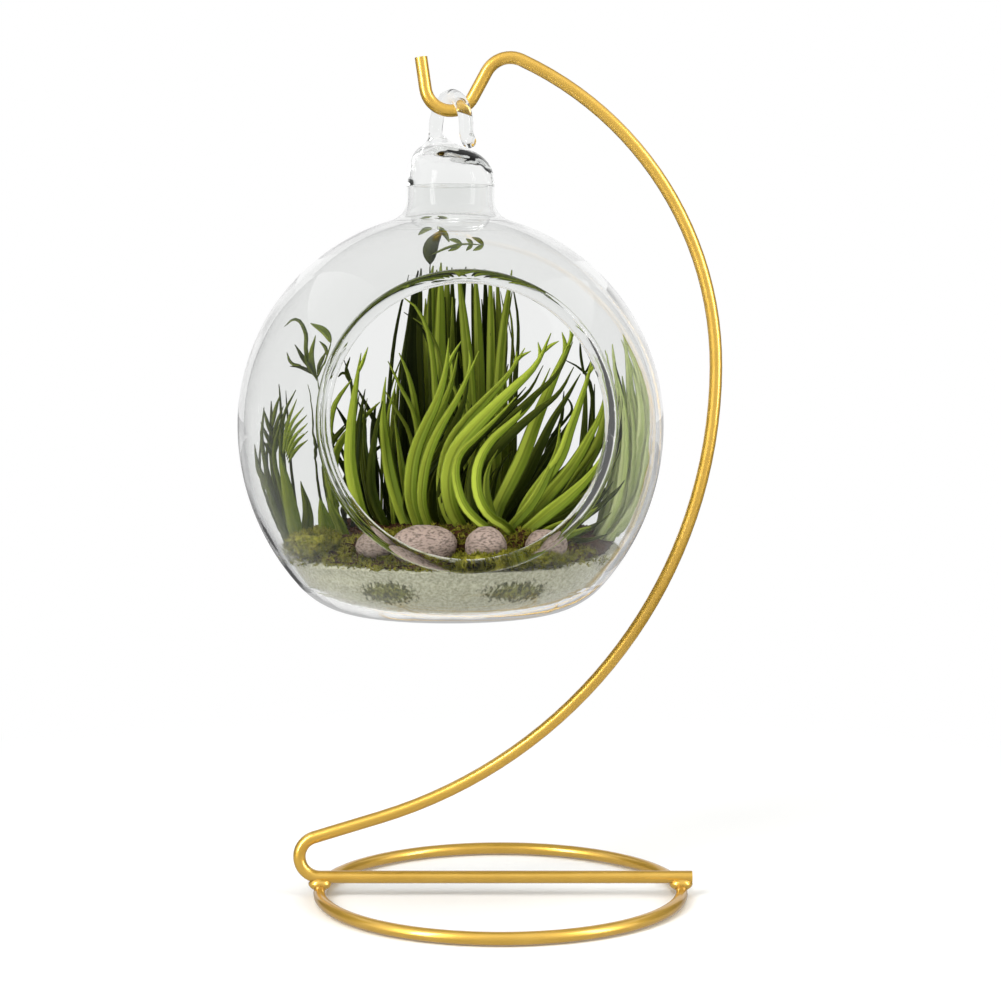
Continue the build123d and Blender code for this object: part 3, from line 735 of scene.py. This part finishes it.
def granite_pebble():
    """A river-worn granite pebble: matt pinkish grey, with many short dark flecks and pits."""
    material, tree = new_material("granite_pebble")
    place = node(tree, "ShaderNodeTexCoord")
    cloud = node(tree, "ShaderNodeTexNoise", {
        "Vector": place.outputs["Object"],
        "Scale": per_metre(6),
        "Detail": 4.0,
    })
    ground = node(tree, "ShaderNodeMix", {
        "Factor": cloud.outputs["Fac"],
        6: rgb("7A695E"),
        7: rgb("A59286"),
    }, data_type="RGBA")
    laid = node(tree, "ShaderNodeMapping", {
        "Vector": place.outputs["Object"],
        "Rotation": (0.1, 0.4, 0.3),
        "Scale": (per_metre(1.3), per_metre(1.3), per_metre(0.55)),
    })
    fleck = node(tree, "ShaderNodeTexNoise", {"Vector": laid.outputs[0], "Scale": 1.0, "Detail": 4.0})
    spots = node(tree, "ShaderNodeMapRange", {
        "Value": fleck.outputs["Fac"],
        "From Min": 0.46,
        "From Max": 0.63,
        "To Max": 0.8,
    })
    skin = node(tree, "ShaderNodeMix", {
        "Factor": spots.outputs["Result"],
        6: ground.outputs[2],
        7: rgb("463A30"),
    }, data_type="RGBA")
    pits = node(tree, "ShaderNodeBump", {
        "Height": fleck.outputs["Fac"],
        "Strength": 0.6,
        "Distance": -0.2 * MM,
    })
    shader = node(tree, "ShaderNodeBsdfPrincipled", {
        "Base Color": skin.outputs[2],
        "Normal": pits.outputs["Normal"],
        "Roughness": 0.75,
    })
    node(tree, "ShaderNodeOutputMaterial", {"Surface": shader.outputs[0]})
    return material


def quartz_sand(patches):
    """Washed quartz sand against the glass: pale grey-green grains, with moss pressed flat in patches."""
    material, tree = new_material("quartz_sand")
    place = node(tree, "ShaderNodeTexCoord")
    grain = node(tree, "ShaderNodeTexNoise", {
        "Vector": place.outputs["Object"],
        "Scale": per_metre(1.0),  # real grains are half as wide, too fine to show
        "Detail": 3.0,
    })
    fine = node(tree, "ShaderNodeMapRange", {
        "Value": grain.outputs["Fac"],
        "From Min": 0.35,
        "From Max": 0.65,
    })
    sand_colour = node(tree, "ShaderNodeMix", {
        "Factor": fine.outputs["Result"],
        6: rgb("97977F"),
        7: rgb("BFBCA6"),
    }, data_type="RGBA")
    combed = node(tree, "ShaderNodeMapping", {
        "Vector": place.outputs["Object"],
        "Scale": (per_metre(1.1), per_metre(1.1), per_metre(3.0)),
    })
    strands = node(tree, "ShaderNodeTexNoise", {"Vector": combed.outputs[0], "Scale": 1.0, "Detail": 3.0})
    moss_split = node(tree, "ShaderNodeMapRange", {
        "Value": strands.outputs["Fac"],
        "From Min": 0.4,
        "From Max": 0.62,
    })
    moss_colour = node(tree, "ShaderNodeMix", {
        "Factor": moss_split.outputs["Result"],
        6: rgb("30320C"),
        7: rgb("74742E"),
    }, data_type="RGBA")
    skin = sand_colour.outputs[2]
    for middle, reach in patches:
        away = node(tree, "ShaderNodeMapping", {
            "Vector": place.outputs["Object"],
            "Location": seen_at(*middle),
            "Scale": reach,
        }, vector_type="TEXTURE")
        far = node(tree, "ShaderNodeVectorMath", {0: away.outputs[0]}, operation="LENGTH")
        ragged = node(tree, "ShaderNodeMath", {
            0: strands.outputs["Fac"],
            1: 1.6,
            2: far.outputs["Value"],
        }, operation="MULTIPLY_ADD")
        cover = node(tree, "ShaderNodeMapRange", {
            "Value": ragged.outputs[0],
            "From Min": 1.5,
            "From Max": 1.75,
            "To Min": 0.9,
            "To Max": 0.0,
        })
        patched = node(tree, "ShaderNodeMix", {
            "Factor": cover.outputs["Result"],
            6: skin,
            7: moss_colour.outputs[2],
        }, data_type="RGBA")
        skin = patched.outputs[2]
    bump = node(tree, "ShaderNodeBump", {
        "Height": grain.outputs["Fac"],
        "Strength": 0.7,
        "Distance": 0.3 * MM,
    })
    shader = node(tree, "ShaderNodeBsdfPrincipled", {
        "Base Color": skin,
        "Normal": bump.outputs["Normal"],
        "Roughness": 0.9,
    })
    node(tree, "ShaderNodeOutputMaterial", {"Surface": shader.outputs[0]})
    return material


# Stand and glass: CAD nodes whose shape is right, with their own finish

def finish_node(name, material):
    """Gives a CAD node its finish."""
    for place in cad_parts[name].material_slots:
        place.material = material


# Ground in the globe

def scatter(base, seedling, name, per_cm2, sizes, lean, seed):
    """Many small copies of a seedling over a base, each turned, leaned and sized at random."""
    tree = bpy.data.node_groups.new(name, "GeometryNodeTree")
    tree.interface.new_socket("Geometry", in_out="INPUT", socket_type="NodeSocketGeometry")
    tree.interface.new_socket("Geometry", in_out="OUTPUT", socket_type="NodeSocketGeometry")
    source = node(tree, "NodeGroupInput")
    points = node(tree, "GeometryNodeDistributePointsOnFaces", {
        "Mesh": source.outputs[0],
        "Density": per_cm2 * CM2_IN_M2,
        "Seed": seed,
    })
    shape = node(tree, "GeometryNodeObjectInfo", {"Object": seedling})
    spin = node(tree, "FunctionNodeRandomValue", {
        0: (-lean, -lean, -math.pi),
        1: (lean, lean, math.pi),
        "Seed": seed + 1,
    }, data_type="FLOAT_VECTOR")
    turned = node(tree, "FunctionNodeRotateRotation", {
        "Rotation": points.outputs["Rotation"],
        "Rotate By": spin.outputs[0],
    }, rotation_space="LOCAL")
    size = node(tree, "FunctionNodeRandomValue", {2: sizes[0], 3: sizes[1], "Seed": seed + 2})
    copies = node(tree, "GeometryNodeInstanceOnPoints", {
        "Points": points.outputs["Points"],
        "Instance": shape.outputs["Geometry"],
        "Rotation": turned.outputs[0],
        "Scale": size.outputs[1],
    })
    real = node(tree, "GeometryNodeRealizeInstances", {"Geometry": copies.outputs[0]})
    node(tree, "NodeGroupOutput", {0: real.outputs[0]})
    made = copy_piece(base, name)
    apply_modifier(made, "NODES", node_group=tree)
    return made


def strew(ground, seedling, name, bare, per_cm2, sizes, lean, seed):
    """Copies of a seedling strewn over the ground, apart from where it is bare."""
    patch = join([copy_piece(piece, name + "_patch") for piece in ground], name + "_patch")
    with editing(patch):
        for test in bare:
            pick(test)
            bpy.ops.mesh.delete(type="VERT")
    piece = scatter(patch, seedling, name, per_cm2, sizes, lean, seed)
    bpy.data.objects.remove(patch)
    return piece


def from_axis(place):
    """How far a place lies from the globe's upright axis."""
    return math.dist(place[:2], GLOBE[:2])


def ground_under(pieces, x, y):
    """Height of the highest of these pieces at a place, in metres."""
    heights = [globe_low.z]
    for piece in pieces:
        hit, place = piece.ray_cast(Vector((x, y, globe_high.z)), Vector((0, 0, -1)))[:2]
        if hit:
            heights.append(place.z)
    return max(heights)


def sand(material):
    """The drainage layer, which also lines the glass round the soil."""
    piece = copy_node("sand_layer")
    lining = copy_node("soil_bed")
    with editing(lining):
        bpy.ops.transform.resize(value=LINING_SHARE, center_override=(GLOBE.x, GLOBE.y, SOIL_FOOT))
    join([piece, lining], "sand_layer_look")
    remesh(piece, GROUND_VOXEL)
    roughen(piece, "sand_lumps", lump_mm=2.2, height_mm=0.9, level=1.0)
    place_on_globe(piece, material, "pale_sand", "sand_layer")
    return piece


def soil(material, crowns):
    """The soil bed inside the sand, banked up behind the stones and heaped a little round each plant."""
    piece = copy_node("soil_bed")
    with editing(piece):
        bpy.ops.transform.resize(value=SOIL_SHARE, center_override=(GLOBE.x, GLOBE.y, SOIL_FOOT))
    parts = [piece]
    for crown in crowns:
        bpy.ops.object.select_all(action="DESELECT")
        bpy.ops.mesh.primitive_ico_sphere_add(subdivisions=3, radius=HEAP_R)
        heap = bpy.context.object
        away = (crown - GLOBE).to_2d()
        spot = GLOBE.to_2d() + away * min(1, HEAP_REACH / away.length)
        top = ground_under([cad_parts["soil_bed"]], *spot)
        heap.data.transform(Matrix.Translation((*spot, top - HEAP_SINK)))
        parts.append(heap)
    bpy.ops.object.select_all(action="DESELECT")
    bpy.ops.mesh.primitive_ico_sphere_add(subdivisions=5, radius=1)
    bank = bpy.context.object
    with editing(bank):
        bpy.ops.transform.resize(value=BANK_HALVES)
        bpy.ops.transform.translate(value=BANK_PLACE)
    parts.append(bank)
    join(parts, "soil_bed_look")
    remesh(piece, GROUND_VOXEL)
    roughen(piece, "soil_lumps", lump_mm=5, height_mm=2.4, level=0.7)
    roughen(piece, "soil_grit", lump_mm=1.8, height_mm=1.0, level=0.7)
    place_on_globe(piece, material, "dark_soil", "soil_bed")
    return piece


def pebble(name, material, size_mm):
    """A water-worn pebble: the CAD stone with a slightly uneven, pitted skin."""
    piece = copy_node(name)
    remesh(piece, STONE_VOXEL)
    roughen(piece, name + "_form", lump_mm=size_mm, height_mm=1.5, level=0.6)
    roughen(piece, name + "_pits", lump_mm=1.4, height_mm=0.22, level=0.6, depth=3)
    place_on_globe(piece, material, "grey_pebble", name)


def moss_sprig():
    """Five short bent strands that spread from one root."""
    bpy.ops.object.select_all(action="DESELECT")
    bpy.ops.mesh.primitive_cone_add(
        vertices=3, radius1=STRAND_FOOT_R, radius2=STRAND_TOP_R, depth=STRAND_LENGTH,
        end_fill_type="NOTHING")
    strand = bpy.context.object
    with editing(strand):
        bpy.ops.transform.translate(value=(0, 0, STRAND_LIFT))
        pick(lambda place: place.z > STRAND_BEND)
        bpy.ops.mesh.extrude_region_move(TRANSFORM_OT_translate={"value": STRAND_TIP})
        bpy.ops.transform.resize(value=(TIP_SHARE, TIP_SHARE, TIP_SHARE))
    strands = [strand]
    for turn in range(1, STRANDS):
        strands.append(copy_piece(strand, "strand"))
        strands[-1].data.transform(Matrix.Rotation(math.radians(STRAND_LEAN * turn), 4, "X"))
        strands[-1].data.transform(Matrix.Rotation(math.radians(360 / STRANDS * turn), 4, "Z"))
    return join(strands, "moss_sprig")


def crumb():
    """One broken crumb of soil."""
    bpy.ops.object.select_all(action="DESELECT")
    bpy.ops.mesh.primitive_ico_sphere_add(subdivisions=1, radius=CRUMB_R)
    piece = bpy.context.object
    piece.name = "crumb"
    with editing(piece):
        pick(lambda place: place.x > CRUMB_SIDE)
        bpy.ops.transform.resize(value=CRUMB_PRESS)
        pick(lambda place: place.z < CRUMB_FOOT)
        bpy.ops.transform.translate(value=CRUMB_PUSH)
    return piece


def moss_pad(name, rise, material, sprig, seed):
    """A moss pad: the CAD pad's form under a dense coat of sprigs."""
    pad = copy_node(name)
    with editing(pad):
        bpy.ops.transform.resize(value=(1, 1, rise), center_override=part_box(name)[0])
    remesh(pad, PAD_VOXEL)
    roughen(pad, name + "_tufts", lump_mm=4, height_mm=2.4, level=0.8)
    coat = scatter(pad, sprig, name + "_coat", per_cm2=60, sizes=(0.4, 0.85), lean=1.1, seed=seed)
    place_on_globe(join([pad, coat], name + "_look"), material, "green_moss", name)


def moss_carpet(ground, material, sprig, seed):
    """Low moss that has spread over the front of the ground, round and between the stones."""
    bare = (
        lambda place: place.z < MOSS_LEVEL or from_axis(place) > STREWN_REACH,
        lambda place: place.y > BARE_BEHIND and place.x > BARE_RIGHT_OF,
    )
    piece = strew(ground, sprig, "moss_carpet", bare, per_cm2=40, sizes=(0.4, 0.95), lean=1.2, seed=seed)
    place_on_globe(piece, material, "green_moss")


def loose_crumbs(ground, material, grit, seed):
    """Crumbs that lie loose on the ground."""
    bare = (lambda place: place.z < CRUMB_LEVEL or from_axis(place) > STREWN_REACH,)
    piece = strew(ground, grit, "soil_crumbs", bare, per_cm2=14, sizes=(0.6, 1.9), lean=1.5, seed=seed)
    place_on_globe(piece, material, "dark_soil", smooth=False)


# Plants

def strap_width(run):
    """Width of a strap leaf along its run, as a share of its widest."""
    swell = min(1.0, STRAP_ROOT + STRAP_SWELL * run)
    point = max(0.0, (run - STRAP_POINT_FROM) / STRAP_POINT_RUN)
    return swell * (1 - STRAP_POINT_LOSS * point ** STRAP_POINT_POWER)


def blade_width(run):
    """Width of a grass blade along its run, as a share of its widest."""
    swell = BLADE_ROOT + (1 - BLADE_ROOT) * min(1.0, BLADE_SWELL * run)
    return swell * (1 - BLADE_POINT_LOSS * run ** BLADE_POINT_POWER)


def leaflet_width(run):
    """Width of a small pointed leaf along its run, as a share of its widest."""
    return LEAFLET_ENDS + (1 - LEAFLET_ENDS) * math.sin(math.pi * run ** LEAFLET_POWER)


def blank_leaf(width, ridges, ridge, gutter, rows, columns):
    """A leaf one metre long and one wide, folded and ridged along its length and narrowed to its tip."""
    bpy.ops.object.select_all(action="DESELECT")
    bpy.ops.mesh.primitive_grid_add(x_subdivisions=columns, y_subdivisions=rows, size=1, calc_uvs=True)
    piece = bpy.context.object
    with editing(piece):
        lines = sorted({round(vertex.co.y, 4) for vertex in bmesh.from_edit_mesh(piece.data).verts})
        for line in lines:
            pick(lambda place: abs(place.y - line) < SAME_ROW)
            rise = gutter * math.hypot(2 * line, FOLD_ROUND) - ridge * math.cos(2 * math.pi * ridges * line)
            bpy.ops.transform.translate(value=(0.5, 0, rise))
        stations = sorted({round(vertex.co.x, 4) for vertex in bmesh.from_edit_mesh(piece.data).verts})
        for station in stations:
            pick(lambda place: abs(place.x - station) < SAME_ROW)
            share = width(station)
            bpy.ops.transform.resize(value=(1, share, share), center_override=(station, 0, 0))
    return piece


def grow_leaf(blank, line, width, roll, shade):
    """A copy of the blank leaf, bent along a line of places in metres and rolled about it."""
    leaf = copy_piece(blank, "leaf")
    leaf.data.transform(Matrix.Diagonal((1, width, width, 1)))
    curve = bpy.data.curves.new("leaf_line", "CURVE")
    curve.dimensions = "3D"
    curve.twist_mode = "Z_UP"
    curve.use_stretch = True
    curve.use_deform_bounds = True
    spline = curve.splines.new("BEZIER")
    spline.bezier_points.add(len(line) - 1)
    for step, (point, place) in enumerate(zip(spline.bezier_points, line)):
        point.co = STANDING.transposed() @ place
        point.handle_left_type = "AUTO"
        point.handle_right_type = "AUTO"
        point.tilt = math.radians(roll) * (ROOT_ROLL + step / len(line))
    guide = bpy.data.objects.new("leaf_line", curve)
    bpy.context.scene.collection.objects.link(guide)
    bpy.context.view_layer.update()
    apply_modifier(leaf, "CURVE", object=guide, deform_axis="POS_X")
    apply_modifier(leaf, "SOLIDIFY", thickness=LEAF_THICKNESS, offset=0)
    leaf.data.transform(STANDING)
    bpy.data.objects.remove(guide)
    bpy.data.curves.remove(curve)
    tone = leaf.data.attributes.new("leaf_shade", "FLOAT", "POINT")
    tone.data.foreach_set("value", [shade] * len(leaf.data.vertices))
    return leaf


def inside(place, margin):
    """The same place, drawn in so that it stays clear of the glass."""
    out = place - GLOBE
    return GLOBE + out * min(1.0, (CAVITY_R - margin) / out.length)


def leaf_line(places, ground, width):
    """A leaf's line in metres. A leaf that starts near the ground is let down to root just under it."""
    line = [inside(seen_at(*place), width / 2) for place in places]
    start = line[0].z
    drop = start - ground_under(ground, line[0].x, line[0].y) + ROOT_DEPTH
    if drop < ROOTED_WITHIN:
        for place in line:
            place.z -= drop * max(0, 1 - (place.z - start) / LET_DOWN_OVER)
    return line


def foot_of(leaf):
    """The first of a leaf's places, which come last in its row of the table."""
    return leaf[-1][0]


def young_leaf(chance, rooted, spread):
    """Width, roll and places of a younger leaf that follows one of the rooted ones."""
    width, roll, _, places = chance.choice(rooted)
    aside = chance.uniform(-spread, spread)
    back = chance.uniform(*YOUNG_BACK)
    height = chance.uniform(*YOUNG_HEIGHT)
    slim = width * chance.uniform(*YOUNG_WIDTH)
    moved = [(places[0][0] + aside * YOUNG_ROOT_ASIDE, GROUND_ROW, places[0][2] + back)]
    for column, row, depth in places[1:]:
        moved.append((column + aside, GROUND_ROW - (GROUND_ROW - row) * height, depth + back))
    return slim, roll, moved


def plant(name, blanks, ground, material, slot, seed):
    """One plant: its named leaves, with younger ones between and behind them."""
    chance = random.Random(seed)
    grown = []
    for form, leaves in PLANTS[name].items():
        for width, roll, shade, places in leaves:
            line = leaf_line(places, ground, width * MM)
            grown.append(grow_leaf(blanks[form], line, width * MM, roll, shade))
    form, leaves = next(iter(PLANTS[name].items()))
    rooted = [leaf for leaf in leaves if foot_of(leaf)[1] > ROOTED_BELOW_ROW]
    count, spread, shades = YOUNG_LEAVES[name]
    for _ in range(count):
        width, roll, places = young_leaf(chance, rooted, spread)
        line = leaf_line(places, ground, width * MM)
        shade = chance.uniform(*shades)
        roll += chance.uniform(*YOUNG_ROLL)
        grown.append(grow_leaf(blanks[form], line, width * MM, roll, shade))
    place_on_globe(join(grown, name + "_look"), material, slot, name)


# Studio

def seen_directly(tree):
    """One for rays that see the surround straight on, in a reflection or through glass, else nought.

    A ray that has already left a matt surface lights that surface, and glass on its way changes nothing.
    """
    ray = node(tree, "ShaderNodeLightPath")
    first = node(tree, "ShaderNodeMath", {
        0: ray.outputs["Is Camera Ray"],
        1: ray.outputs["Is Glossy Ray"],
    }, operation="MAXIMUM")
    any_way = node(tree, "ShaderNodeMath", {
        0: first.outputs[0],
        1: ray.outputs["Is Transmission Ray"],
    }, operation="MAXIMUM")
    fresh = node(tree, "ShaderNodeMath", {0: ray.outputs["Diffuse Depth"], 1: 0.5}, operation="LESS_THAN")
    return node(tree, "ShaderNodeMath", {0: any_way.outputs[0], 1: fresh.outputs[0]}, operation="MULTIPLY")


def floor_paper():
    """Matt white studio paper: it keeps the shadow near the object and turns plain white further out."""
    material, tree = new_material("studio_floor")
    place = node(tree, "ShaderNodeTexCoord")
    far = node(tree, "ShaderNodeVectorMath", {0: place.outputs["Object"]}, operation="LENGTH")
    fade = node(tree, "ShaderNodeMapRange", {
        "Value": far.outputs["Value"],
        "From Min": SHADOW_FULL_R,
        "From Max": SHADOW_GONE_R,
    }, interpolation_type="SMOOTHSTEP")
    seen = seen_directly(tree)
    amount = node(tree, "ShaderNodeMath", {
        0: fade.outputs["Result"],
        1: seen.outputs[0],
    }, operation="MULTIPLY")
    matt = node(tree, "ShaderNodeBsdfDiffuse", {"Color": rgb("F4F4F2")})
    white = node(tree, "ShaderNodeEmission", {"Color": rgb("FFFFFF"), "Strength": 1.0})
    blend = node(tree, "ShaderNodeMixShader", {
        0: amount.outputs[0],
        1: matt.outputs[0],
        2: white.outputs[0],
    })
    node(tree, "ShaderNodeOutputMaterial", {"Surface": blend.outputs[0]})
    return material


def studio_floor():
    """The floor that the stand is on."""
    bpy.ops.object.select_all(action="DESELECT")
    bpy.ops.mesh.primitive_circle_add(
        vertices=96, radius=FLOOR_R, fill_type="NGON", location=(0, 0, FLOOR_Z))
    floor = bpy.context.object
    floor.name = "floor"
    floor.data.materials.append(floor_paper())


def surround():
    """A surround that looks white and lights matt surfaces less."""
    world = bpy.data.worlds.new("studio")
    bpy.context.scene.world = world
    world.use_nodes = True
    tree = world.node_tree
    tree.nodes.clear()
    seen = seen_directly(tree)
    level = node(tree, "ShaderNodeMapRange", {
        "Value": seen.outputs[0],
        "To Min": ROOM_LIGHT,
        "To Max": 1.0,
    })
    light = node(tree, "ShaderNodeBackground", {
        "Color": rgb("FFFFFF"),
        "Strength": level.outputs["Result"],
    })
    node(tree, "ShaderNodeOutputWorld", {"Surface": light.outputs[0]})


def lamp(name, place, size, power):
    """A soft box or strip of this width and height, aimed at the globe and not seen through it."""
    light = bpy.data.lights.new(name, "AREA")
    light.shape = "RECTANGLE"
    light.size = size[0]
    light.size_y = size[1]
    light.energy = power
    made = bpy.data.objects.new(name, light)
    bpy.context.scene.collection.objects.link(made)
    made.location = place
    made.rotation_euler = (GLOBE - Vector(place)).to_track_quat("-Z", "Y").to_euler()
    made.visible_transmission = False
    return made


def card(name, place, size, grey):
    """A flat grey card that only reflections show, for darker bands in the gold and depth in the glass."""
    bpy.ops.object.select_all(action="DESELECT")
    bpy.ops.mesh.primitive_plane_add(size=1)
    made = bpy.context.object
    made.name = name
    made.data.transform(Matrix.Diagonal((*size, 1, 1)))
    made.location = place
    made.visible_camera = False
    made.visible_diffuse = False
    made.visible_transmission = False
    made.visible_shadow = False
    material, tree = new_material(name)
    cloth = node(tree, "ShaderNodeEmission", {"Color": rgb(grey), "Strength": 1.0})
    node(tree, "ShaderNodeOutputMaterial", {"Surface": cloth.outputs[0]})
    made.data.materials.append(material)
    return made


def camera():
    """The camera that takes the picture."""
    made = bpy.data.objects.new("camera", bpy.data.cameras.new("camera"))
    bpy.context.scene.collection.objects.link(made)
    made.location = CAMERA
    made.rotation_euler = (math.radians(90) - TILT, 0, 0)
    made.data.sensor_width = SENSOR_MM
    made.data.lens = SENSOR_MM * FOCAL / PICTURE
    bpy.context.scene.camera = made
    bpy.context.scene.view_settings.view_transform = "Standard"


def studio():
    """Floor, surround, soft lamps, strips for the gold's highlights, cards and the camera."""
    studio_floor()
    surround()
    for name, (place, size, power) in SOFT_BOXES.items():
        lamp(name, place, size, power).visible_glossy = False
    for name, (place, size, power) in STRIPS.items():
        lamp(name, place, size, power).visible_diffuse = False
    for name, (place, size, grey) in CARDS.items():
        turn = (GLOBE - Vector(place)).to_track_quat("Z", "Y")
        card(name, place, size, grey).rotation_euler = turn.to_euler()
    for name, (place, size, grey) in FLOOR_CARDS.items():
        card(name, place, size, grey)
    camera()


studio()

gold = gold_lacquer()
for part in ("stand_rod", "base_ring", "left_weld", "right_weld"):
    finish_node(part, gold)
finish_node("glass_globe", clear_glass("blown_glass", wave_mm=26, wave=0.3))
finish_node("glass_hook", clear_glass("drawn_glass", wave_mm=6, wave=0.4))

soil_colours = ("332010", "4A2F1A", "22150A")
moss_colours = ("606218", "948E34", "3E420A")
soil_crumb = grainy("potting_soil", soil_colours, grain_mm=1.4, patch_mm=6, rough=0.95, bump_mm=0.5)
moss_fibre = grainy("sheet_moss", moss_colours, grain_mm=1.5, patch_mm=5, rough=0.9, bump_mm=0.2)
# The strap and grass skins' dark colours are near black: the painted shade that deep leaves, edges and
# folds go to
strap_skin = leaf_skin("strap_leaf_skin", "A0AE3E", "5E6F1C", "0E1704", bands=2.2, gloss=0.42)
grass_skin = leaf_skin("grass_blade_skin", "8A9636", "58681A", "080E02", bands=2.4, gloss=0.5)
tuft_skin = leaf_skin("tuft_leaf_skin", "C4CC92", "A0AE68", "5A6A30", bands=3.0, gloss=0.5)

sand_bed = sand(quartz_sand(PATCHES))
crowns = []
for forms in PLANTS.values():
    main_leaves = next(iter(forms.values()))
    crowns.append(seen_at(*foot_of(main_leaves[0])))
ground = [soil(soil_crumb, crowns), sand_bed]
stone_skin = granite_pebble()
for stone, size_mm in STONES.items():
    pebble(stone, stone_skin, size_mm)

sprig = moss_sprig()
for count, (pad, rise) in enumerate(PADS.items()):
    moss_pad(pad, rise, moss_fibre, sprig, SEED + 10 * count)
moss_carpet(ground, moss_fibre, sprig, SEED + 40)
grit = crumb()
loose_crumbs(ground, soil_crumb, grit, SEED)

blanks = {
    "strap": blank_leaf(strap_width, ridges=2, ridge=0.02, gutter=0.3, rows=8, columns=24),
    "blade": blank_leaf(blade_width, ridges=1, ridge=0.12, gutter=0.0, rows=2, columns=16),
    "leaflet": blank_leaf(leaflet_width, ridges=1, ridge=0.08, gutter=0.0, rows=2, columns=10),
}
blanks["front_strap"] = blanks["strap"]  # a strap leaf that no younger leaf follows
for order, name in enumerate(PLANTS):
    skin = strap_skin if "strap" in name else tuft_skin if "tuft" in name else grass_skin
    slot = "strap_leaf" if "strap" in name else "grass_blade"
    plant(name, blanks, ground, skin, slot, SEED + order)
for pattern in (sprig, grit, *set(blanks.values())):
    bpy.data.objects.remove(pattern)
